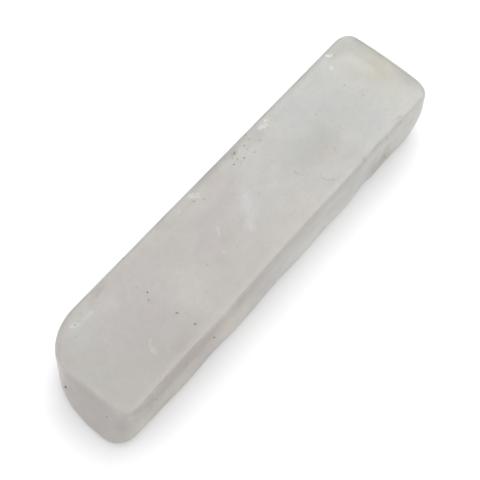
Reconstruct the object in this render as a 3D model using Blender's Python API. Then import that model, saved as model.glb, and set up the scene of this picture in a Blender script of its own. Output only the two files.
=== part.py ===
"""A tumbled bar of rose quartz: one stone, so one solid.

It was sawn from the rough as a four-sided block, then tumbled until its edges and corners wore round. It
lies on its flat foot along X. The -X end leans out towards the foot, the +X end stands nearly upright on a
worn heel, and the -Y side is the front. Metres, +Z up, origin at the middle of the base of its box.
"""

import math

import bmesh
import bpy
from mathutils import Vector

MM = 0.001
NAME = "rose_quartz_point"

# The sawn block, in millimetres.
TOP_LENGTH = 76.3
HEIGHT = 10.8
LEAN_END_WIDTH = 19.5
FAR_END_WIDTH = 18.3
LEAN_FRONT = 3.15  # how far the foot of the -X end stands out past its top edge, at the front corner
LEAN_BACK = 1.1
LEAN_END_SKEW = 0.3  # how far the top edge of the -X end lies back at the front corner
FRONT_FLARE = 0.35  # how far the top of the front lies behind its foot, at the -X end
FRONT_TUCK = 0.25  # how far the foot lies behind the top, at the +X end
BACK_TUCK = 0.35

# How far each rounded corner reaches along X and along Y, in millimetres, at the top and at the foot.
CORNERS_AT_TOP = {(-1, -1): (2.0, 1.8), (-1, 1): (8.6, 6.3), (1, -1): (2.4, 3.2), (1, 1): (3.1, 2.4)}
CORNERS_AT_FOOT = {(-1, -1): (5.4, 4.4), (-1, 1): (7.6, 9.8), (1, -1): (2.7, 3.2), (1, 1): (2.9, 2.9)}

# How far each rounded rim reaches in over the level face and along the upright one, in millimetres.
BACK_RIM = (0.85, 0.85)
LEAN_END_RIM = (0.3, 0.3)
BACK_CORNER_RIM = (1.3, 1.3)  # at the corner between the two
FAR_END_RIM = (1.3, 1.3)
FOOT_RIM = (1.5, 1.5)

# The front ridge is crisp at the -X end and grows blunter towards the +X end.
CRISP_RIDGE = (0.25, 0.25)
BLUNT_RIDGE = (0.6, 0.5)
BLUNT_START = -22.0
BLUNT_FULL = 12.0

# The chip runs down the front from the ridge to the foot. It starts at a short slope and fades towards -X.
CHIP_FOOT_X = 23.0
CHIP_RIDGE_X = 26.2
CHIP_EDGE = 2.2
CHIP_LENGTH = 7.0
CHIP_DEPTH = 0.5
CHIP_AT_RIDGE = 0.25  # how much of its depth it keeps at the ridge

# Wear, in millimetres.
HEEL_DEPTH = 3.7  # how far the foot of the +X end is worn back
HEEL_HEIGHT = 6.0
HEEL_REACH = 13.0
FRONT_BELLY = 0.09  # how far the front swells at mid length
LEAN_END_BELLY = 0.15  # how far the ends swell at mid width
FAR_END_BELLY = 0.37
RIPPLE = 0.11  # low waves along the foot of the long sides
RIPPLE_PITCH = 14.8
RIPPLE_CREST = -10.0

# Dents, and swells where the depth is negative, along the foot: where, half length, depth.
END_DENTS = ((3.5, 4.0, 0.15), (-2.5, 4.0, -0.15))
FOOT_DENTS = (
    (-35.5, 3.5, 0.23),
    (-13.5, 5.0, -0.17),
    (15.0, 3.0, -0.06),
    (24.5, 6.0, 0.15),
    (34.0, 3.0, 0.22),
)

# The larger pits: where each lies on the finished stone, in millimetres.
PITS = (
    (-19.1, 2.3, 10.8),
    (-18.8, -3.5, 10.8),
    (-18.5, -6.9, 10.8),
    (7.0, 6.9, 10.8),
    (8.7, 8.1, 10.8),
    (-37.9, 3.35, 4.9),
    (-38.7, -5.6, 7.4),
    (-16.9, -9.4, 6.5),
    (-30.5, -9.4, 6.4),
    (27.3, -9.0, 3.5),
)
PIT_WIDTH = 0.45
PIT_DEPTH = 0.2

# How finely the faces are divided, and how far the lines crowd towards the edges.
CUTS_LONG = 79
CUTS_WIDE = 17
CUTS_HIGH = 11
CROWDING = 0.65

STONE_COLOUR = (0.55, 0.52, 0.50, 1.0)
STONE_ROUGHNESS = 0.3
QUARTZ_IOR = 1.544


def mix(a, b, share):
    return a + (b - a) * share


def mix_each(a, b, share):
    return [mix(first, second, share) for first, second in zip(a, b)]


def ease(start, end, value):
    """0 before start, 1 after end, and a smooth rise between them."""
    share = min(max((value - start) / (end - start), 0.0), 1.0)
    return share * share * (3.0 - 2.0 * share)


def divided_cube():
    """A cube from -1 to 1, its faces divided with more lines near the edges."""
    cube = bmesh.new()
    bmesh.ops.create_cube(cube, size=2.0)
    for axis, cuts in enumerate((CUTS_LONG, CUTS_WIDE, CUTS_HIGH)):
        along = [e for e in cube.edges if abs(e.verts[0].co[axis] - e.verts[1].co[axis]) > 1.0]
        bmesh.ops.subdivide_edges(cube, edges=along, cuts=cuts, use_grid_fill=True)
    for vert in cube.verts:
        for axis in range(3):
            even = vert.co[axis]
            vert.co[axis] = mix(even, math.sin(even * math.pi / 2), CROWDING)
    return cube


def sawn_place(long, wide, high):
    """Where a point of the cube lies on the sawn block."""
    to_far = (long + 1) / 2
    to_back = (wide + 1) / 2
    to_foot = (1 - high) / 2
    half_width = mix(LEAN_END_WIDTH, FAR_END_WIDTH, to_far) / 2
    front = -half_width + mix(mix(FRONT_FLARE, 0, to_far), mix(0, FRONT_TUCK, to_far), to_foot)
    back = half_width - BACK_TUCK * to_foot
    lean = mix(LEAN_FRONT, LEAN_BACK, to_back) * to_foot
    skew = mix(LEAN_END_SKEW, 0, to_back)
    x = mix(-TOP_LENGTH / 2 + skew - lean, TOP_LENGTH / 2, to_far)
    return Vector((x, mix(front, back, to_back), HEIGHT * (1 - to_foot)))


def worn_round(first, second):
    """Draws a unit square in to a quarter circle and returns how far its point moves along each axis."""
    shrink = max(first, second) / math.hypot(first, second)
    return first * shrink - first, second * shrink - second


def top_rim(place, outward):
    """The rim's reach where the top meets a face that looks outward, blended round the corners."""
    blunt = ease(BLUNT_START, BLUNT_FULL, place.x)
    side_rim = BACK_RIM if outward.y > 0 else mix_each(CRISP_RIDGE, BLUNT_RIDGE, blunt)
    end_rim = LEAN_END_RIM if outward.x < 0 else FAR_END_RIM
    rim = mix_each(side_rim, end_rim, outward.x**2)
    if outward.x < 0 < outward.y:
        rim = mix_each(rim, BACK_CORNER_RIM, 4 * outward.x**2 * outward.y**2)
    return rim


def rounded_place(long, wide, high):
    """Where a point of the cube lies once the corners and rims have worn round."""
    place = sawn_place(long, wide, high)
    end, side, level = (int(math.copysign(1, c)) for c in (long, wide, high))
    from_end = (1 - abs(long)) * TOP_LENGTH / 2
    from_side = (1 - abs(wide)) * mix(LEAN_END_WIDTH, FAR_END_WIDTH, (long + 1) / 2) / 2

    reach_x, reach_y = mix_each(CORNERS_AT_TOP[end, side], CORNERS_AT_FOOT[end, side], (1 - high) / 2)
    a, b = 1 - from_end / reach_x, 1 - from_side / reach_y
    if a > 0 and b > 0:
        outward = Vector((end * a / reach_x, side * b / reach_y)).normalized()
        span = (reach_x * a * abs(outward.x) + reach_y * b * abs(outward.y)) / math.hypot(a, b)
        from_outline = (1 - max(a, b)) * span
        moved_x, moved_y = worn_round(a, b)
        place.x += end * moved_x * reach_x
        place.y += side * moved_y * reach_y
    else:
        outward = Vector((end, 0)) if a > 0 or (b <= 0 and from_end < from_side) else Vector((0, side))
        from_outline = min(from_end, from_side)

    reach_in, reach_down = FOOT_RIM if level < 0 else top_rim(place, outward)
    a, b = 1 - from_outline / reach_in, 1 - (1 - abs(high)) * HEIGHT / 2 / reach_down
    if a > 0 and b > 0:
        moved_in, moved_down = worn_round(a, b)
        place.x += outward.x * moved_in * reach_in
        place.y += outward.y * moved_in * reach_in
        place.z += level * moved_down * reach_down
    return place


def wear(place):
    """Moves a point of the rounded block by the worn heel, the swell, the waves, the dents and the chip."""
    half = TOP_LENGTH / 2
    height = place.z
    heel = ease(half - HEEL_REACH, half, place.x) * max(1 - height / HEEL_HEIGHT, 0.0) ** 2
    place.x -= HEEL_DEPTH * heel

    side = place.y / (LEAN_END_WIDTH / 2)
    belly = FAR_END_BELLY if place.x > 0 else LEAN_END_BELLY
    place.x += belly * math.cos(side * math.pi / 2) * (place.x / half) ** 3
    low = 1 - height / HEIGHT
    if place.x < 0:
        for y, half_length, depth in END_DENTS:
            dent = depth * (1 - ease(0.0, half_length, abs(place.y - y))) * low
            place.x += dent * (place.x / half) ** 2
    outward = RIPPLE * math.cos((place.x - RIPPLE_CREST) / RIPPLE_PITCH * 2 * math.pi) * low
    if side < 0:
        outward += FRONT_BELLY * math.cos(place.x / half * math.pi / 2)
        for x, half_length, depth in FOOT_DENTS:
            outward -= depth * (1 - ease(0.0, half_length, abs(place.x - x))) * low
        behind = mix(CHIP_FOOT_X, CHIP_RIDGE_X, height / HEIGHT) - place.x
        chip = ease(0.0, CHIP_EDGE, behind) * (1 - ease(CHIP_EDGE, CHIP_LENGTH, behind))
        outward -= CHIP_DEPTH * chip * mix(CHIP_AT_RIDGE, 1, low)
    place.y += outward * side**3


def sink_pit(stone, middle):
    """Insets the face nearest to the pit's middle down to the pit's width, and pokes it inwards."""
    face = min(stone.faces, key=lambda f: (f.calc_center_median() - Vector(middle)).length)
    border = (math.sqrt(face.calc_area()) - PIT_WIDTH) / 2
    bmesh.ops.inset_individual(stone, faces=[face], thickness=border)
    bmesh.ops.poke(stone, faces=[face], offset=-PIT_DEPTH)


def tumbled_stone():
    stone = divided_cube()
    for vert in stone.verts:
        place = rounded_place(*vert.co)
        wear(place)
        vert.co = place
    lowest = Vector(min(v.co[axis] for v in stone.verts) for axis in range(3))
    highest = Vector(max(v.co[axis] for v in stone.verts) for axis in range(3))
    middle = (lowest + highest) / 2
    bmesh.ops.translate(stone, verts=stone.verts, vec=(-middle.x, -middle.y, -lowest.z))
    stone.normal_update()
    for pit in PITS:
        sink_pit(stone, pit)
    bmesh.ops.scale(stone, verts=stone.verts, vec=(MM, MM, MM))
    return stone


def rose_quartz():
    material = bpy.data.materials.new("rose_quartz")
    material.use_nodes = True
    shader = material.node_tree.nodes["Principled BSDF"]
    shader.inputs["Base Color"].default_value = STONE_COLOUR
    shader.inputs["Roughness"].default_value = STONE_ROUGHNESS
    shader.inputs["IOR"].default_value = QUARTZ_IOR
    return material


for obj in list(bpy.data.objects):
    bpy.data.objects.remove(obj)

stone = tumbled_stone()
mesh = bpy.data.meshes.new(NAME)
stone.to_mesh(mesh)
stone.free()
mesh.shade_smooth()
mesh.materials.append(rose_quartz())
bpy.context.scene.collection.objects.link(bpy.data.objects.new(NAME, mesh))
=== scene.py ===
"""A tumbled bar of milky rose quartz, lying on a white table under soft studio light."""

import math
import random

import bmesh
import bpy
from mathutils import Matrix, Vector, bvhtree, kdtree, noise


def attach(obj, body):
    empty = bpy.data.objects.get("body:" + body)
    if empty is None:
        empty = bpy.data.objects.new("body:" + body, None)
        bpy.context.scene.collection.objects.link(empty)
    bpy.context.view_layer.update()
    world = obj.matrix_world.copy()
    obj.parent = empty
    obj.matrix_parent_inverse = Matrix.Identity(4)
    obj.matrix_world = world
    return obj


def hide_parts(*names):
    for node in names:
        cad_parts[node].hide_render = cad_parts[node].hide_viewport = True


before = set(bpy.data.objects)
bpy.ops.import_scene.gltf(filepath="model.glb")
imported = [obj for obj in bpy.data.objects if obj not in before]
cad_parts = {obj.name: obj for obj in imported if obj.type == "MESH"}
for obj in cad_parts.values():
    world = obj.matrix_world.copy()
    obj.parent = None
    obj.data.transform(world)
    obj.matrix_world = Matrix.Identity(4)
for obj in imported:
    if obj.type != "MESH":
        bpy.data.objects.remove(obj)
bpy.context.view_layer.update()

# ---- The studio ------------------------------------------------------------------------------------------
# A white table top, a bright white room, and one large soft lamp high behind the stone, so that the only
# shadow is a soft one at its front and its slanted end. The camera is a long lens that looks steeply down.

MM = 0.001
AIM = Vector((1.2, 0.55, 0.0)) * MM
CAMERA_AZIMUTH = math.radians(-49.75)
CAMERA_ELEVATION = math.radians(64.0)
CAMERA_DISTANCE = 312 * MM
LENS = 141.15
SENSOR_WIDTH = 36.0


def towards(azimuth, elevation):
    """The direction from the stone to something seen past it, with azimuth 0 looking along +Y."""
    level = math.cos(elevation)
    return Vector((math.sin(azimuth) * level, -math.cos(azimuth) * level, math.sin(elevation)))


def aim(obj, place):
    obj.location = place
    obj.rotation_euler = (place - AIM).to_track_quat("Z", "Y").to_euler()
    bpy.context.scene.collection.objects.link(obj)


lens = bpy.data.cameras.new("camera")
lens.sensor_width = SENSOR_WIDTH
lens.lens = LENS
lens.clip_start = 10 * MM
camera = bpy.data.objects.new("camera", lens)
aim(camera, AIM + towards(CAMERA_AZIMUTH, CAMERA_ELEVATION) * CAMERA_DISTANCE)
bpy.context.scene.camera = camera
bpy.context.scene.view_settings.view_transform = "Standard"


def srgb(hex_colour):
    """An sRGB hex colour as the linear RGBA that a shader takes."""
    parts = [int(hex_colour[i : i + 2], 16) / 255 for i in (0, 2, 4)]
    return (*[p / 12.92 if p <= 0.04045 else ((p + 0.055) / 1.055) ** 2.4 for p in parts], 1.0)


ROOM_STRENGTH = 1.1
room = bpy.data.worlds.new("white_room")
room.use_nodes = True
room.node_tree.nodes["Background"].inputs["Color"].default_value = srgb("FFFFFF")
room.node_tree.nodes["Background"].inputs["Strength"].default_value = ROOM_STRENGTH
bpy.context.scene.world = room

LAMP_AZIMUTH = math.radians(112.0)
LAMP_ELEVATION = math.radians(55.0)
LAMP_DISTANCE = 800 * MM
LAMP_WIDTH = 600 * MM
LAMP_POWER = 2.27
lamp_data = bpy.data.lights.new("soft_lamp", "AREA")
lamp_data.shape = "DISK"
lamp_data.size = LAMP_WIDTH
lamp_data.energy = LAMP_POWER
lamp = bpy.data.objects.new("soft_lamp", lamp_data)
aim(lamp, AIM + towards(LAMP_AZIMUTH, LAMP_ELEVATION) * LAMP_DISTANCE)

TABLE_HALF = 1500 * MM
AIR_UNDER_STONE = 0.02 * MM  # a hair of room, so that the table and the foot never share a plane
table_mesh = bpy.data.meshes.new("table_top")
sheet = bmesh.new()
bmesh.ops.create_grid(sheet, x_segments=1, y_segments=1, size=TABLE_HALF)
bmesh.ops.translate(sheet, verts=sheet.verts, vec=(0, 0, -AIR_UNDER_STONE))
sheet.to_mesh(table_mesh)
sheet.free()
table = bpy.data.objects.new("table_top", table_mesh)
bpy.context.scene.collection.objects.link(table)

# White laminate: matt, bright and even.
laminate = bpy.data.materials.new("white_laminate")
laminate.use_nodes = True
laminate_shader = laminate.node_tree.nodes["Principled BSDF"]
laminate_shader.inputs["Base Color"].default_value = srgb("F5F5F6")
laminate_shader.inputs["Roughness"].default_value = 0.7
laminate_shader.inputs["Specular IOR Level"].default_value = 0.2
table_mesh.materials.append(laminate)

# ---- The stone's form ------------------------------------------------------------------------------------
# One piece of rose quartz, sawn from the rough as a four-sided block and tumbled with grit until its edges
# and corners wore round. All sizes are in millimetres, the same as the solid's, with the faces more finely
# divided.

TOP_LENGTH = 76.3
HEIGHT = 10.8
LEAN_END_WIDTH = 19.5
FAR_END_WIDTH = 18.3
LEAN_FRONT = 3.15  # how far the foot of the -X end stands out past its top edge, at the front corner
LEAN_BACK = 1.1
LEAN_END_SKEW = 0.3  # how far the top edge of the -X end lies back at the front corner
FRONT_FLARE = 0.35  # how far the top of the front lies behind its foot, at the -X end
FRONT_TUCK = 0.25  # how far the foot lies behind the top, at the +X end
BACK_TUCK = 0.35

# How far each rounded corner reaches along X and along Y, at the top and at the foot.
CORNERS_AT_TOP = {(-1, -1): (2.0, 1.8), (-1, 1): (8.6, 6.3), (1, -1): (2.4, 3.2), (1, 1): (3.1, 2.4)}
CORNERS_AT_FOOT = {(-1, -1): (5.4, 4.4), (-1, 1): (7.6, 9.8), (1, -1): (2.7, 3.2), (1, 1): (2.9, 2.9)}

# How far each rounded rim reaches in over the level face and along the upright one, and how strongly it is
# painted darker, from 0 to 1: a painted shade that stands in for the shade seen in a rounded rim edge-on.
BACK_RIM = (0.85, 0.85, 0.8)
LEAN_END_RIM = (0.3, 0.3, 0.1)
BACK_CORNER_RIM = (1.3, 1.3, 0.2)  # at the corner between the two
FAR_END_RIM = (1.3, 1.3, 0.7)
FOOT_RIM = (1.5, 1.5, 0.0)

# The front ridge is crisp at the -X end and grows blunter towards the +X end.
CRISP_RIDGE = (0.25, 0.25, 0.35)
BLUNT_RIDGE = (0.6, 0.5, 0.2)
BLUNT_START = -22.0
BLUNT_FULL = 12.0

# The chip runs down the front from the ridge to the foot. It starts at a short slope and fades towards -X.
CHIP_FOOT_X = 23.0
CHIP_RIDGE_X = 26.2
CHIP_EDGE = 2.2
CHIP_LENGTH = 7.0
CHIP_DEPTH = 0.5
CHIP_AT_RIDGE = 0.25  # how much of its depth it keeps at the ridge

HEEL_DEPTH = 3.7  # how far the foot of the +X end is worn back
HEEL_HEIGHT = 6.0
HEEL_REACH = 13.0
FRONT_BELLY = 0.09  # how far the front swells at mid length
LEAN_END_BELLY = 0.15  # how far the ends swell at mid width
FAR_END_BELLY = 0.37
RIPPLE = 0.11  # low waves along the foot of the long sides
RIPPLE_PITCH = 14.8
RIPPLE_CREST = -10.0

# Dents, and swells where the depth is negative, along the foot: where, half length, depth.
END_DENTS = ((3.5, 4.0, 0.15), (-2.5, 4.0, -0.15))
FOOT_DENTS = (
    (-35.5, 3.5, 0.23),
    (-13.5, 5.0, -0.17),
    (15.0, 3.0, -0.06),
    (24.5, 6.0, 0.15),
    (34.0, 3.0, 0.22),
)

CUTS_LONG = 223
CUTS_WIDE = 59
CUTS_HIGH = 35
CROWDING = 0.75  # how far the dividing lines crowd towards the edges


def mix(a, b, share):
    return a + (b - a) * share


def mix_each(a, b, share):
    return [mix(first, second, share) for first, second in zip(a, b)]


def ease(start, end, value):
    """0 before start, 1 after end, and a smooth rise between them."""
    share = min(max((value - start) / (end - start), 0.0), 1.0)
    return share * share * (3.0 - 2.0 * share)


def divided_cube():
    """A cube from -1 to 1, its faces divided with more lines near the edges."""
    cube = bmesh.new()
    bmesh.ops.create_cube(cube, size=2.0)
    for axis, cuts in enumerate((CUTS_LONG, CUTS_WIDE, CUTS_HIGH)):
        along = [e for e in cube.edges if abs(e.verts[0].co[axis] - e.verts[1].co[axis]) > 1.0]
        bmesh.ops.subdivide_edges(cube, edges=along, cuts=cuts, use_grid_fill=True)
    for vert in cube.verts:
        for axis in range(3):
            even = vert.co[axis]
            vert.co[axis] = mix(even, math.sin(even * math.pi / 2), CROWDING)
    return cube


def sawn_place(long, wide, high):
    """Where a point of the cube lies on the sawn block."""
    to_far = (long + 1) / 2
    to_back = (wide + 1) / 2
    to_foot = (1 - high) / 2
    half_width = mix(LEAN_END_WIDTH, FAR_END_WIDTH, to_far) / 2
    front = -half_width + mix(mix(FRONT_FLARE, 0, to_far), mix(0, FRONT_TUCK, to_far), to_foot)
    back = half_width - BACK_TUCK * to_foot
    lean = mix(LEAN_FRONT, LEAN_BACK, to_back) * to_foot
    skew = mix(LEAN_END_SKEW, 0, to_back)
    x = mix(-TOP_LENGTH / 2 + skew - lean, TOP_LENGTH / 2, to_far)
    return Vector((x, mix(front, back, to_back), HEIGHT * (1 - to_foot)))


def worn_round(first, second):
    """Draws a unit square in to a quarter circle and returns how far its point moves along each axis."""
    shrink = max(first, second) / math.hypot(first, second)
    return first * shrink - first, second * shrink - second


def top_rim(place, outward):
    """The rim's reach where the top meets a face that looks outward, blended round the corners."""
    blunt = ease(BLUNT_START, BLUNT_FULL, place.x)
    side_rim = BACK_RIM if outward.y > 0 else mix_each(CRISP_RIDGE, BLUNT_RIDGE, blunt)
    end_rim = LEAN_END_RIM if outward.x < 0 else FAR_END_RIM
    rim = mix_each(side_rim, end_rim, outward.x**2)
    if outward.x < 0 < outward.y:
        rim = mix_each(rim, BACK_CORNER_RIM, 4 * outward.x**2 * outward.y**2)
    return rim


def rounded_place(long, wide, high):
    """Where a point of the cube lies once the corners and rims have worn round, and how much painted shade
    its rim takes.
    """
    place = sawn_place(long, wide, high)
    end, side, level = (int(math.copysign(1, c)) for c in (long, wide, high))
    from_end = (1 - abs(long)) * TOP_LENGTH / 2
    from_side = (1 - abs(wide)) * mix(LEAN_END_WIDTH, FAR_END_WIDTH, (long + 1) / 2) / 2

    reach_x, reach_y = mix_each(CORNERS_AT_TOP[end, side], CORNERS_AT_FOOT[end, side], (1 - high) / 2)
    a, b = 1 - from_end / reach_x, 1 - from_side / reach_y
    if a > 0 and b > 0:
        outward = Vector((end * a / reach_x, side * b / reach_y)).normalized()
        span = (reach_x * a * abs(outward.x) + reach_y * b * abs(outward.y)) / math.hypot(a, b)
        from_outline = (1 - max(a, b)) * span
        moved_x, moved_y = worn_round(a, b)
        place.x += end * moved_x * reach_x
        place.y += side * moved_y * reach_y
    else:
        outward = Vector((end, 0)) if a > 0 or (b <= 0 and from_end < from_side) else Vector((0, side))
        from_outline = min(from_end, from_side)

    reach_in, reach_down, shade_amount = FOOT_RIM if level < 0 else top_rim(place, outward)
    a, b = 1 - from_outline / reach_in, 1 - (1 - abs(high)) * HEIGHT / 2 / reach_down
    if a > 0 and b > 0:
        moved_in, moved_down = worn_round(a, b)
        place.x += outward.x * moved_in * reach_in
        place.y += outward.y * moved_in * reach_in
        place.z += level * moved_down * reach_down
        return place, shade_amount * 2 * a * b / (a * a + b * b)
    return place, 0.0


def wear(place):
    """Moves a point of the rounded block by the worn heel, the swell, the waves, the dents and the chip."""
    half = TOP_LENGTH / 2
    height = place.z
    heel = ease(half - HEEL_REACH, half, place.x) * max(1 - height / HEEL_HEIGHT, 0.0) ** 2
    place.x -= HEEL_DEPTH * heel

    side = place.y / (LEAN_END_WIDTH / 2)
    belly = FAR_END_BELLY if place.x > 0 else LEAN_END_BELLY
    place.x += belly * math.cos(side * math.pi / 2) * (place.x / half) ** 3
    low = 1 - height / HEIGHT
    if place.x < 0:
        for y, half_length, depth in END_DENTS:
            dent = depth * (1 - ease(0.0, half_length, abs(place.y - y))) * low
            place.x += dent * (place.x / half) ** 2
    outward = RIPPLE * math.cos((place.x - RIPPLE_CREST) / RIPPLE_PITCH * 2 * math.pi) * low
    if side < 0:
        outward += FRONT_BELLY * math.cos(place.x / half * math.pi / 2)
        for x, half_length, depth in FOOT_DENTS:
            outward -= depth * (1 - ease(0.0, half_length, abs(place.x - x))) * low
        behind = mix(CHIP_FOOT_X, CHIP_RIDGE_X, height / HEIGHT) - place.x
        chip = ease(0.0, CHIP_EDGE, behind) * (1 - ease(CHIP_EDGE, CHIP_LENGTH, behind))
        outward -= CHIP_DEPTH * chip * mix(CHIP_AT_RIDGE, 1, low)
    place.y += outward * side**3


stone = divided_cube()
rim_layer = stone.verts.layers.float.new("rim")
for vert in stone.verts:
    worn, vert[rim_layer] = rounded_place(*vert.co)
    wear(worn)
    vert.co = worn
lowest = Vector(min(v.co[axis] for v in stone.verts) for axis in range(3))
highest = Vector(max(v.co[axis] for v in stone.verts) for axis in range(3))
middle = (lowest + highest) / 2
bmesh.ops.translate(stone, verts=stone.verts, vec=(-middle.x, -middle.y, -lowest.z))

# ---- Pits, bruises and scratches -------------------------------------------------------------------------
# Tumbling opens the quartz's small voids as pits, which hold dark polishing grit, and bruises its rims
# white. Each mark is a bowl or a groove sunk in the surface, and leaves how dark or how white it is on the
# mesh for the material to read.

# Each mark is its line of points, its half width, its depth, how much grit it holds and how bruised it is.
PITS = (
    (((-19.2, 2.35, 10.8),), 0.15, 0.16, 0.95, 0.0),
    (((-20.1, 1.35, 10.8),), 0.28, 0.06, 0.3, 0.0),
    (((-20.2, 0.6, 10.8),), 0.16, 0.05, 0.25, 0.0),
    (((-19.7, 4.3, 10.8),), 0.14, 0.08, 0.45, 0.0),
    (((-18.95, -3.4, 10.8), (-18.85, -3.65, 10.8)), 0.14, 0.12, 0.62, 0.0),
    (((-18.6, -6.85, 10.8), (-18.4, -7.0, 10.8)), 0.13, 0.12, 0.7, 0.0),
    (((-37.9, 3.5, 4.45), (-37.9, 3.16, 5.25)), 0.28, 0.08, 1.0, 0.0),
    (((-38.9, -5.64, 7.36),), 0.18, 0.16, 0.9, 0.0),
    (((-16.8, -9.42, 6.2), (-17.0, -9.42, 6.6)), 0.17, 0.16, 1.0, 0.0),
    (((-17.9, -9.42, 7.68),), 0.14, 0.08, 0.5, 0.0),
    (((-30.6, -9.45, 6.2), (-30.75, -9.45, 6.6)), 0.13, 0.12, 0.7, 0.0),
    (((-34.98, -9.48, 6.0), (-35.0, -9.48, 6.5)), 0.12, 0.05, 0.2, 0.0),
    (((27.4, -9.0, 3.2), (27.25, -9.0, 3.7)), 0.14, 0.14, 0.7, 0.0),
    (((8.4, 7.95, 10.8), (8.7, 8.1, 10.8)), 0.12, 0.1, 0.5, 0.0),
    (((6.97, 6.75, 10.8),), 0.15, 0.12, 0.7, 0.0),
    (((8.04, 6.9, 10.8),), 0.13, 0.1, 0.55, 0.0),
    (((8.9, 6.25, 10.8), (9.0, 6.2, 10.8)), 0.17, 0.08, 0.33, 0.0),
    (((10.6, 7.75, 10.8), (10.8, 7.7, 10.8)), 0.18, 0.06, 0.25, 0.0),
    (((12.0, 7.9, 10.8), (12.2, 7.8, 10.8)), 0.2, 0.05, 0.15, 0.0),
    (((10.6, 5.7, 10.8), (10.9, 5.6, 10.8)), 0.2, 0.05, 0.18, 0.0),
    (((13.2, 6.3, 10.8),), 0.22, 0.05, 0.16, 0.0),
    (((12.4, 8.75, 10.7),), 0.15, 0.08, 0.5, 0.0),
    (((22.8, 2.5, 10.8),), 0.13, 0.06, 0.4, 0.0),
    (((30.2, 2.4, 10.8),), 0.13, 0.1, 0.65, 0.0),
    (((30.75, -1.2, 10.8),), 0.13, 0.08, 0.6, 0.0),
    (((-9.5, -1.7, 10.8),), 0.13, 0.06, 0.42, 0.0),
    (((-4.1, -3.35, 10.8),), 0.14, 0.04, 0.22, 0.0),
    (((-2.6, 7.55, 10.8), (-2.2, 7.15, 10.8)), 0.12, 0.04, 0.28, 0.0),
    (((-1.1, 6.45, 10.8), (-0.8, 6.15, 10.8)), 0.12, 0.04, 0.35, 0.0),
    (((-30.75, 7.2, 10.8),), 0.22, 0.06, 0.4, 0.0),
    (((-32.2, 5.8, 10.8),), 0.14, 0.08, 0.4, 0.0),
    (((7.6, -7.2, 10.8), (7.5, -7.5, 10.8)), 0.14, 0.03, 0.12, 0.0),
    (((12.35, -1.75, 10.8),), 0.16, 0.05, 0.25, 0.0),
    (((5.6, 0.2, 10.8),), 0.13, 0.06, 0.3, 0.0),
)
SCRATCHES = (
    (((12.2, -1.9, 10.8), (12.5, -2.7, 10.8), (12.8, -3.2, 10.8)), 0.1, 0.03, 0.13, 0.0),
    (((14.6, -5.1, 10.8), (14.3, -5.8, 10.8), (14.4, -6.4, 10.8)), 0.1, 0.03, 0.16, 0.0),
    (((14.4, -6.4, 10.8), (14.8, -6.95, 10.8), (15.4, -7.5, 10.8)), 0.11, 0.04, 0.26, 0.0),
    (((31.2, -8.3, 10.8), (31.6, -8.5, 10.8)), 0.3, 0.04, 0.13, 0.0),
    (((30.4, -9.0, 10.3), (30.9, -9.0, 10.5)), 0.25, 0.03, 0.12, 0.0),
    (((27.0, -9.1, 10.4), (27.3, -9.1, 10.2)), 0.3, 0.03, 0.14, 0.0),
    (((25.6, -9.1, 9.9), (26.1, -9.1, 10.0)), 0.25, 0.03, 0.12, 0.0),
    (((21.2, -8.9, 10.7), (21.5, -8.7, 10.8)), 0.3, 0.03, 0.12, 0.0),
    (((19.95, -3.5, 10.8), (19.5, -4.5, 10.8)), 0.16, 0.03, 0.1, 0.0),
    (((-10.0, -5.2, 10.8), (-9.7, -6.4, 10.8)), 0.1, 0.03, 0.12, 0.3),
)
BRUISES = (
    (((15.0, 7.75, 10.8), (15.6, 7.6, 10.8), (16.1, 7.5, 10.8)), 0.38, 0.1, 0.0, 0.9),
    (((16.6, 8.05, 10.8),), 0.22, 0.1, 0.0, 1.0),
    (((32.9, 8.1, 10.8), (33.3, 7.8, 10.8)), 0.33, 0.08, 0.0, 1.0),
    (((31.55, 6.4, 10.8), (31.4, 6.1, 10.8)), 0.32, 0.04, 0.0, 0.85),
    (((-1.9, 8.3, 10.8), (-1.3, 7.7, 10.8), (-0.9, 7.3, 10.8)), 0.42, 0.08, 0.0, 0.55),
    (((-5.2, 7.8, 10.8),), 0.3, 0.04, 0.0, 0.35),
    (((-4.3, 0.15, 10.8), (-3.5, 1.3, 10.8)), 0.19, 0.02, 0.0, 0.4),
    (((-26.1, -5.3, 10.8), (-25.95, -4.7, 10.8)), 0.42, 0.01, 0.0, 0.33),
    (((-25.95, -4.5, 10.8), (-25.5, -3.7, 10.8), (-24.9, -3.4, 10.8)), 0.26, 0.01, 0.0, 0.26),
    (((-5.9, -2.0, 10.8), (-6.2, -2.4, 10.8)), 0.2, 0.02, 0.0, 0.27),
    (((-29.0, 6.75, 10.8), (-27.4, 6.8, 10.8)), 0.28, 0.03, 0.0, 0.3),
    (((-31.2, 7.5, 10.8), (-30.2, 6.9, 10.8)), 0.35, 0.04, 0.0, 0.4),
)
# Small voids lie in swarms: the middle of each, its half width, and how many open at the surface.
SWARMS = (
    ((8.8, 6.0, 10.8), 3.0, 14),
    ((-31.0, 7.2, 10.8), 2.6, 6),
    ((-24.0, -9.4, 7.0), 5.0, 8),
    ((-10.0, 9.4, 5.0), 9.0, 9),
    ((22.0, 9.0, 4.5), 7.0, 7),
    ((39.5, 0.0, 4.5), 4.0, 6),
    ((12.0, 2.0, 0.0), 9.0, 9),
    ((-22.0, -3.0, 0.0), 8.0, 8),
)
SWARM_PIT = (0.08, 0.14)  # the smallest and the largest half width
SWARM_DEPTH = 0.6  # depth for each millimetre of half width
SWARM_GRIT = (0.1, 0.5)
STEP = 0.12  # spacing of the points that stand for a mark's line
FINE_CUTS = 3  # cuts across each edge near a mark
FINE_REACH = 1.4  # how many half widths from its line the cuts start
FINE_MARGIN = 0.3  # and how much further, in millimetres

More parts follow.
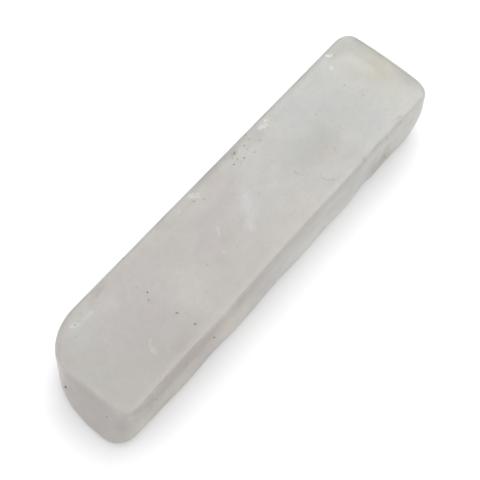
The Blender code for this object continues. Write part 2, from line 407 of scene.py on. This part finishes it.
# A mark's edge wanders in and out by this share of its half width, and more where it is bruised.
RAGGED = 0.3
RAGGED_BRUISE = 0.5
RAGGED_LUMPS = 3.1  # lumps for each millimetre
MARK_REACH = 1.5  # how many half widths from its line a mark can reach
GRIT_EDGE = (0.45, 1.15)  # where the grit and the bruise start to fade and end, in half widths
BRUISE_EDGE = (0.6, 1.3)


def mark_line(points):
    """Evenly spaced points along a mark, each on the stone's surface."""
    line = [Vector(points[0])]
    for start, end in zip(points, points[1:]):
        start, end = Vector(start), Vector(end)
        count = math.ceil((end - start).length / STEP)
        line += [start.lerp(end, i / count) for i in range(1, count + 1)]
    return [surface.find_nearest(point)[0] for point in line]


def near(tree, line, reach):
    """The indices that lie within reach of a line of points, with how near each one is."""
    nearest = {}
    for point in line:
        for _, index, distance in tree.find_range(point, reach):
            nearest[index] = min(distance, nearest.get(index, reach))
    return nearest


def tree_of(places):
    tree = kdtree.KDTree(len(places))
    for index, place in enumerate(places):
        tree.insert(place, index)
    tree.balance()
    return tree


surface = bvhtree.BVHTree.FromBMesh(stone)
chance = random.Random(4)
marks = [(mark_line(points), *mark) for points, *mark in (*PITS, *SCRATCHES, *BRUISES)]
for centre, spread, count in SWARMS:
    for _ in range(count):
        loose = Vector(centre) + Vector(chance.gauss(0, spread / 2) for _ in range(3))
        half_width = chance.uniform(*SWARM_PIT)
        depth = half_width * SWARM_DEPTH
        marks.append((mark_line([loose]), half_width, depth, chance.uniform(*SWARM_GRIT), 0.0))
stone.faces.ensure_lookup_table()
face_tree = tree_of([face.calc_center_median() for face in stone.faces])
marked = set()
for line, half_width, *_ in marks:
    marked.update(near(face_tree, line, half_width * FINE_REACH + FINE_MARGIN))
edges = {edge for index in marked for edge in stone.faces[index].edges}
bmesh.ops.subdivide_edges(stone, edges=list(edges), cuts=FINE_CUTS, use_grid_fill=True)

grit_layer = stone.verts.layers.float.new("grit")
bruise_layer = stone.verts.layers.float.new("bruise")
stone.normal_update()
stone.verts.ensure_lookup_table()
vert_tree = tree_of([vert.co for vert in stone.verts])
sunk = {}
for line, half_width, depth, grit, bruise in marks:
    for index, distance in near(vert_tree, line, half_width * MARK_REACH).items():
        vert = stone.verts[index]
        uneven = 1 + (RAGGED + RAGGED_BRUISE * bruise) * noise.noise(vert.co * RAGGED_LUMPS)
        edge = distance / half_width * uneven
        bowl = (1 - min(edge, 1) ** 2) ** 1.5
        sunk[index] = max(sunk.get(index, 0), depth * bowl)
        vert[grit_layer] = max(vert[grit_layer], grit * (1 - ease(*GRIT_EDGE, edge)))
        vert[bruise_layer] = max(vert[bruise_layer], bruise * (1 - ease(*BRUISE_EDGE, edge)))
moves = [(stone.verts[index], stone.verts[index].normal * depth) for index, depth in sunk.items()]
for vert, inward in moves:
    vert.co -= inward

bmesh.ops.scale(stone, verts=stone.verts, vec=(MM, MM, MM))
stone_mesh = bpy.data.meshes.new("rose_quartz_bar")
stone.to_mesh(stone_mesh)
stone.free()
stone_mesh.shade_smooth()
bar = bpy.data.objects.new("rose_quartz_bar", stone_mesh)
bpy.context.scene.collection.objects.link(bar)
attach(bar, "root")
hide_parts("rose_quartz_point")

# ---- The stone's finish ----------------------------------------------------------------------------------
# Rose quartz is quartz made milky by fine inclusions. Tumble-polished, it is satin rather than glassy: soft
# wide highlights, light that sinks a few millimetres in, and faint pink, grey, bluish and iron-stained
# zones that run through the mass.

QUARTZ_IOR = 1.544
QUARTZ = "CAC5C1"
PALE_QUARTZ = "D5D5D1"  # the mass grows paler towards the +X end
# the colour of the painted shade on the rims
PAINTED_RIM_SHADE = "9A9991"
CHALK = "F4F5F3"
GRIT = "2C2622"


def add_node(tree, kind, inputs=(), out=0, **settings):
    """Adds a node with its options and inputs, each a plain value or another node's output."""
    node = tree.nodes.new(kind)
    for name, value in settings.items():
        setattr(node, name, value)
    for name, value in dict(inputs).items():
        if isinstance(value, bpy.types.NodeSocket):
            tree.links.new(value, node.inputs[name])
        else:
            node.inputs[name].default_value = value
    return node.outputs[out]


quartz = bpy.data.materials.new("tumble_polished_rose_quartz")
quartz.use_nodes = True
tree = quartz.node_tree
shader = tree.nodes["Principled BSDF"]

in_metres = add_node(tree, "ShaderNodeTexCoord", out="Object")
in_mm = add_node(tree, "ShaderNodeVectorMath", {0: in_metres, "Scale": 1000}, operation="SCALE")


def pushed(size, reach):
    """Places in millimetres, pushed about by up to this reach by lumps of noise of this size."""
    lumps = {"Vector": in_mm, "Scale": 1 / size, "Detail": 3.0, "Roughness": 0.6}
    lump = add_node(tree, "ShaderNodeTexNoise", lumps, out="Color")
    centred = add_node(tree, "ShaderNodeVectorMath", {0: lump, 1: (0.5, 0.5, 0.5)}, operation="SUBTRACT")
    push = add_node(tree, "ShaderNodeVectorMath", {0: centred, "Scale": reach * 2}, operation="SCALE")
    return add_node(tree, "ShaderNodeVectorMath", {0: in_mm, 1: push})


# The clouds in the mass have soft, wandering borders. Veils, which are healed cracks and thin iron stains,
# fray and have gaps. Bands keep close to the stone's edges; they are painted shade and painted light, with a
# little iron stain in the chip.
wandering = pushed(size=7.0, reach=3.0)
frayed = pushed(size=1.6, reach=0.8)
close = pushed(size=0.8, reach=0.22)

# Each zone: its middle, its reach along X, Y and Z, its turn about Z in degrees, the share of its reach
# that is fully tinted, its tint, and how strong it is.
CLOUDS = (
    ((-33.5, -3.0, 10.0), (7.0, 11.0, 4.0), 0, 0.2, "D0D0CA", 0.6),
    ((-23.6, 0.5, 10.0), (6.0, 6.0, 7.0), 0, 0.0, "C5BCBC", 0.4),
    ((-23.0, -7.0, 10.0), (6.5, 3.2, 3.0), 0, 0.0, "BDB4AD", 0.45),
    ((-14.0, -2.0, 10.0), (7.0, 7.0, 6.0), 0, 0.1, "DDDBD4", 0.5),
    ((-5.0, 0.0, 10.0), (7.0, 9.0, 8.0), 0, 0.0, "CBC1BE", 0.5),
    ((2.5, 6.0, 10.0), (6.0, 4.5, 6.0), 0, 0.2, "CDC3C0", 0.45),
    ((6.0, -6.0, 10.0), (12.0, 4.0, 6.0), 0, 0.2, "D5CDC8", 0.5),
    ((17.0, -0.8, 10.0), (8.5, 5.0, 6.0), 0, 0.2, "B9BAB4", 0.5),
    ((20.5, -6.2, 10.0), (4.5, 3.2, 4.0), 0, 0.2, "BCBAB6", 0.3),
    ((-25.0, 3.5, 10.0), (14.0, 7.5, 5.0), 0, 0.2, "DAD7DA", 0.3),
    ((-15.5, -6.5, 10.0), (4.5, 3.0, 3.0), 0, 0.2, "D8D1D0", 0.35),
    ((17.5, -3.5, 10.0), (4.5, 3.0, 4.0), 0, 0.2, "C8BDB8", 0.4),
    ((23.0, 5.0, 10.0), (11.0, 5.0, 7.0), 0, 0.3, "CED0CF", 0.7),
    ((27.0, -1.0, 10.0), (6.0, 6.0, 6.0), 0, 0.2, "C4C6C3", 0.55),
    ((27.0, -6.3, 10.0), (5.0, 2.8, 5.0), 0, 0.2, "CED1D2", 0.65),
    ((33.5, -5.0, 9.0), (4.5, 4.5, 8.0), 0, 0.3, "D5D8CE", 0.6),
    ((36.2, 0.8, 9.0), (4.6, 7.0, 9.0), 0, 0.3, "CCCBBE", 0.66),
    ((36.8, -0.6, 10.0), (3.2, 5.6, 5.0), 0, 0.1, "DFCDB8", 0.22),
    ((-31.0, 6.0, 10.0), (6.0, 4.0, 4.0), 25, 0.2, "D4D7D4", 0.6),
    ((-25.5, 6.0, 10.0), (4.0, 3.0, 4.0), 0, 0.1, "DAD8D6", 0.45),
    ((20.5, -1.0, 10.0), (5.0, 4.0, 5.0), 0, 0.1, "BCBDB9", 0.4),
    ((34.0, 0.0, 10.0), (2.6, 13.0, 4.0), 0, 0.2, "BBB9AD", 0.28),
)
VEILS = (
    ((-22.0, -9.6, 7.6), (19.0, 1.2, 4.6), 0, 0.4, "BBA187", 0.24),
    ((-12.0, -9.6, 6.0), (9.0, 1.0, 3.5), 0, 0.2, "D9C9B3", 0.25),
    ((1.0, -9.6, 8.8), (13.0, 1.0, 3.2), 0, 0.2, "C1A998", 0.18),
    ((19.0, -9.6, 8.6), (10.0, 1.0, 3.4), 0, 0.2, "D2C2A4", 0.2),
    ((-8.6, -9.5, 9.8), (1.2, 0.6, 0.8), 15, 0.1, "A9876B", 0.35),
    ((-15.6, -9.5, 9.6), (1.8, 0.6, 1.1), 0, 0.2, "A9876B", 0.25),
    ((-32.7, -9.5, 5.6), (1.8, 0.7, 1.5), 0, 0.2, "94867A", 0.3),
    ((0.5, -9.5, 8.0), (8.0, 0.7, 2.0), 0, 0.2, "E6E0D8", 0.3),
    ((29.2, -9.1, 6.2), (2.2, 0.8, 1.3), 20, 0.1, "C4BE94", 0.4),
    ((34.0, -9.1, 6.5), (2.6, 0.8, 2.0), 0, 0.1, "C4BE94", 0.35),
    ((2.9, 0.4, 10.8), (5.2, 1.6, 2.5), 55, 0.0, "E2E6E8", 0.6),
    ((0.3, -2.2, 10.8), (2.2, 1.3, 1.5), 50, 0.1, "EAEEF0", 0.45),
    ((-16.0, -3.4, 10.8), (0.4, 0.3, 0.5), 0, 0.2, "BFA5A3", 0.6),
    ((-15.1, -3.9, 10.8), (0.4, 0.25, 0.5), 40, 0.2, "BFA5A3", 0.6),
    ((9.0, 4.8, 10.8), (5.5, 3.6, 2.0), 30, 0.2, "DADBD6", 0.3),
    ((-29.6, 7.4, 10.2), (4.2, 1.8, 2.0), 8, 0.1, "DFE3DE", 0.42),
    ((8.5, 7.9, 10.8), (1.1, 0.7, 1.0), 0, 0.2, "A08F7C", 0.6),
    ((-24.0, 8.4, 10.8), (3.0, 1.0, 1.0), 0, 0.1, "A89C94", 0.4),
    ((-9.0, 8.6, 10.8), (2.4, 0.9, 1.0), 0, 0.1, "AD9F93", 0.4),
)
# Bands along the edges are painted light and painted shade, not the stone's own colour.
EDGE_SHADE_AND_LIGHT = (
    # The -X end face, darker towards its top edge and at its corners: painted shade.
    ((-37.9, -1.0, 10.1), (1.1, 11.0, 3.0), 0, 0.2, "90857E", 0.3),
    ((-38.9, -1.0, 8.0), (1.6, 10.5, 4.0), 0, 0.2, "8F857D", 0.1),
    ((-37.4, -9.0, 10.3), (1.8, 1.5, 1.6), 0, 0.1, "8F857D", 0.25),
    ((-38.6, 3.6, 7.0), (1.6, 2.6, 5.0), 0, 0.1, "90857E", 0.4),
    # The front under its ridge and at its -X corner, darker: painted shade.
    ((-25.5, -9.55, 9.0), (13.5, 0.75, 3.2), 0, 0.6, "A3988D", 0.48),
    ((-37.9, -8.8, 7.0), (3.0, 2.6, 4.6), 0, 0.0, "8B8078", 0.24),
    # The rounded back corner at the -X end, paler: painted highlight.
    ((-36.3, 5.2, 10.2), (1.0, 3.2, 1.0), -25, 0.2, "DADCCF", 0.45),
    # The front under its ridge, darker: painted shade.
    ((1.0, -9.35, 10.1), (20.0, 1.0, 2.0), 0, 0.3, "A1958E", 0.3),
    ((-8.5, -9.55, 9.0), (8.0, 0.8, 2.6), 0, 0.2, "A29588", 0.42),
    ((-35.8, -9.6, 10.2), (3.2, 0.8, 1.6), 0, 0.2, "948A82", 0.42),
    # The foot of the front, paler: painted light, bounced up from the table.
    ((-33.0, -9.8, 3.0), (7.0, 1.5, 5.0), 0, 0.2, "E9E4D9", 0.3),
    ((-25.0, -9.8, 3.4), (7.0, 1.5, 5.0), 0, 0.2, "ECE7DC", 0.38),
    ((-12.0, -9.8, 3.8), (9.0, 1.5, 5.2), 0, 0.2, "EEE9DE", 0.55),
    ((7.0, -10.0, 3.4), (13.0, 1.6, 4.6), 0, 0.2, "F4F3EB", 0.5),
    # The front under its ridge towards +X, darker: painted shade.
    ((18.0, -9.5, 10.0), (9.0, 1.0, 2.4), 0, 0.1, "A8A398", 0.3),
    ((25.0, -9.0, 10.6), (12.0, 1.3, 1.6), 0, 0.1, "AFB0AA", 0.33),
    # The back rim near the +X end, darker: painted shade.
    ((35.5, 7.6, 10.5), (3.5, 1.8, 2.0), 0, 0.1, "ACACA5", 0.3),
    # The foot of the front, paler: painted light, bounced up from the table.
    ((18.0, -10.2, 0.3), (42.0, 1.7, 8.0), 0, 0.4, "EBEEE6", 0.9),
    ((-35.0, -9.6, 2.5), (4.0, 1.5, 3.0), 0, 0.1, "DDE2D8", 0.6),
    # The chip in the front, brown: partly an iron stain in it and partly painted shade in its hollow.
    ((26.4, -9.2, 2.8), (3.8, 1.8, 2.8), 0, 0.5, "A5937A", 0.36),
    ((27.4, -9.2, 5.2), (1.8, 1.6, 2.6), 0, 0.4, "A5937A", 0.32),
    # The front under its ridge near the +X end, greyer and olive.
    ((28.5, -9.4, 9.4), (3.0, 1.2, 2.2), 0, 0.2, "B4B1A6", 0.3),
    ((34.5, -9.2, 8.5), (6.0, 1.6, 4.0), 0, 0.2, "C6C5B0", 0.4),
    # The rim of the +X end, darker: painted shade.
    ((38.6, 0.0, 10.2), (1.5, 13.0, 1.6), 0, 0.1, "A5A694", 0.4),
    ((38.0, -6.0, 10.5), (1.6, 5.0, 2.5), 0, 0.2, "ABACA1", 0.45),
    ((38.1, 6.0, 10.5), (1.5, 4.6, 2.5), 0, 0.2, "ABACA1", 0.42),
    # The back rim, darker: painted shade.
    ((6.5, 8.7, 10.6), (15.0, 1.1, 1.5), 0, 0.1, "8F8C89", 0.42),
    ((13.5, 7.4, 10.8), (3.5, 1.6, 1.5), 0, 0.1, "A9A7A3", 0.25),
    ((27.0, 8.5, 10.6), (14.0, 1.0, 1.5), 0, 0.1, "9C9E97", 0.26),
)
# Faint lumps and fine specks lie everywhere in the mass. Each sort: its size, the noise at which it starts
# and is full, how strong it is, and its tint.
MOTTLE = (
    (2.2, 0.42, 0.68, 0.08, "B4ABA6"),
    (1.32, 0.5, 0.7, 0.08, "ECEEEC"),
    (1.76, 0.5, 0.72, 0.16, "C9B2AD"),
    (1.98, 0.5, 0.72, 0.14, "BCC1B2"),
    (0.5, 0.52, 0.72, 0.16, "AFA8A2"),
)

PATCH = 0.8  # the size of the gaps in a veil
patch_lumps = {"Vector": in_mm, "Scale": 1 / PATCH, "Detail": 2.0}
gaps = add_node(tree, "ShaderNodeTexNoise", patch_lumps)
patch_range = {"Value": gaps, "From Min": 0.35, "From Max": 0.6, "To Min": 0.4}
patchy = add_node(tree, "ShaderNodeMapRange", patch_range, interpolation_type="SMOOTHSTEP")

tints = []  # how far each tint covers the stone, and the tint, in the order they lie
along = add_node(tree, "ShaderNodeSeparateXYZ", {0: wandering}, out="X")
to_far_end = {"Value": along, "From Min": -40.0, "From Max": 38.0}
far_share = add_node(tree, "ShaderNodeMapRange", to_far_end, interpolation_type="SMOOTHSTEP")
tints.append((far_share, PALE_QUARTZ))
for places, patches, zones in ((wandering, 1.0, CLOUDS), (frayed, patchy, VEILS), (close, 1.0, EDGE_SHADE_AND_LIGHT)):
    for centre, reach, turn, core, tint, strength in zones:
        place = {
            "Vector": places,
            "Location": centre,
            "Rotation": (0.0, 0.0, math.radians(turn)),
            "Scale": reach,
        }
        from_centre = add_node(tree, "ShaderNodeMapping", place, vector_type="TEXTURE")
        distance = add_node(tree, "ShaderNodeVectorMath", {0: from_centre}, out="Value", operation="LENGTH")
        fade = {"Value": distance, "From Min": 1.0, "From Max": core, "To Max": strength}
        cover = add_node(tree, "ShaderNodeMapRange", fade, interpolation_type="SMOOTHSTEP")
        tints.append((add_node(tree, "ShaderNodeMath", {0: cover, 1: patches}, operation="MULTIPLY"), tint))

for size, low, high, strength, tint in MOTTLE:
    lumps = {"Vector": in_mm, "Scale": 1 / size, "Detail": 3.0, "Roughness": 0.55}
    lump = add_node(tree, "ShaderNodeTexNoise", lumps)
    cover = {"Value": lump, "From Min": low, "From Max": high, "To Max": strength}
    tints.append((add_node(tree, "ShaderNodeMapRange", cover, interpolation_type="SMOOTHSTEP"), tint))

# Rims are painted darker than the faces: painted shade, standing in for the shade seen in a rounded rim
# edge-on. The painted shade is uneven along a rim.
RIM_SHADE_STRETCH = 5.0  # how long a stretch of a rim is painted alike
rim = add_node(tree, "ShaderNodeAttribute", attribute_name="rim", out="Fac")
rim_lumps = {"Vector": in_mm, "Scale": 1 / RIM_SHADE_STRETCH, "Detail": 3.0}
uneven = add_node(tree, "ShaderNodeTexNoise", rim_lumps)
rim_shade_range = {"Value": uneven, "From Min": 0.35, "From Max": 0.65, "To Min": 0.25, "To Max": 0.75}
rim_shade_patches = add_node(tree, "ShaderNodeMapRange", rim_shade_range)
darker = add_node(tree, "ShaderNodeMath", {0: rim, 1: rim_shade_patches}, operation="MULTIPLY")
tints.append((darker, PAINTED_RIM_SHADE))

# Grit in the pits is dark; a bruise is crushed quartz, chalk white in crumbs.
CRUMB = 0.35  # the size of a crumb
grit = add_node(tree, "ShaderNodeAttribute", attribute_name="grit", out="Fac")
bruise = add_node(tree, "ShaderNodeAttribute", attribute_name="bruise", out="Fac")
crumbs = add_node(tree, "ShaderNodeTexNoise", {"Vector": in_mm, "Scale": 1 / CRUMB, "Detail": 2.0})
crushed = {"Value": crumbs, "From Min": 0.38, "From Max": 0.6, "To Min": 0.6}
broken = add_node(tree, "ShaderNodeMapRange", crushed, interpolation_type="SMOOTHSTEP")
chalk = add_node(tree, "ShaderNodeMath", {0: bruise, 1: broken}, operation="MULTIPLY")
tints += [(chalk, CHALK), (grit, GRIT)]

colour = srgb(QUARTZ)
for share, tint in tints:
    layer = {"Factor": share, 6: colour, 7: srgb(tint)}
    colour = add_node(tree, "ShaderNodeMix", layer, out=2, data_type="RGBA")
tree.links.new(colour, shader.inputs["Base Color"])

# The satin of a fine tumbled polish, rougher where it is bruised.
SATIN = (0.28, 0.40)  # its lowest and highest roughness
CHALK_ROUGHER = 0.4
POLISH_LUMPS = 2.5  # the size of the patches that are polished alike
lumps = {"Vector": in_mm, "Scale": 1 / POLISH_LUMPS, "Detail": 4.0, "Roughness": 0.55}
polish = add_node(tree, "ShaderNodeTexNoise", lumps)
satin_range = {"Value": polish, "From Min": 0.3, "From Max": 0.7, "To Min": SATIN[0], "To Max": SATIN[1]}
satin = add_node(tree, "ShaderNodeMapRange", satin_range, interpolation_type="SMOOTHSTEP")
chalky = add_node(tree, "ShaderNodeMath", {0: chalk, 1: CHALK_ROUGHER, 2: satin}, operation="MULTIPLY_ADD")
tree.links.new(chalky, shader.inputs["Roughness"])

# Grinding leaves the faces very slightly uneven.
GROUND_LUMPS = 2.6
GROUND_DEPTH = 0.02
lumps = {"Vector": in_mm, "Scale": 1 / GROUND_LUMPS, "Detail": 2.0, "Roughness": 0.55}
ground = add_node(tree, "ShaderNodeTexNoise", lumps)
low_relief = {"Height": ground, "Strength": 0.2, "Distance": GROUND_DEPTH * MM}
relief = add_node(tree, "ShaderNodeBump", low_relief)
tree.links.new(relief, shader.inputs["Normal"])

# Light sinks in and scatters, except at the grit, which is opaque and dull. What passes right through is
# dimmed on its way.
LIGHT_SINKS = 3.0
DIMMING = 35.0  # for each metre
shader.inputs["IOR"].default_value = QUARTZ_IOR
milky = add_node(tree, "ShaderNodeMath", {0: 1.0, 1: grit}, operation="SUBTRACT")
tree.links.new(milky, shader.inputs["Subsurface Weight"])
gloss = add_node(tree, "ShaderNodeMath", {0: milky, 1: 0.5}, operation="MULTIPLY")
tree.links.new(gloss, shader.inputs["Specular IOR Level"])
shader.inputs["Subsurface Radius"].default_value = (1.0, 0.95, 0.9)
shader.inputs["Subsurface Scale"].default_value = LIGHT_SINKS * MM
shader.inputs["Transmission Weight"].default_value = 0.45
absorb = add_node(tree, "ShaderNodeVolumeAbsorption", {"Color": srgb("C8C4BF"), "Density": DIMMING})
tree.links.new(absorb, tree.nodes["Material Output"].inputs["Volume"])
stone_mesh.materials.append(quartz)
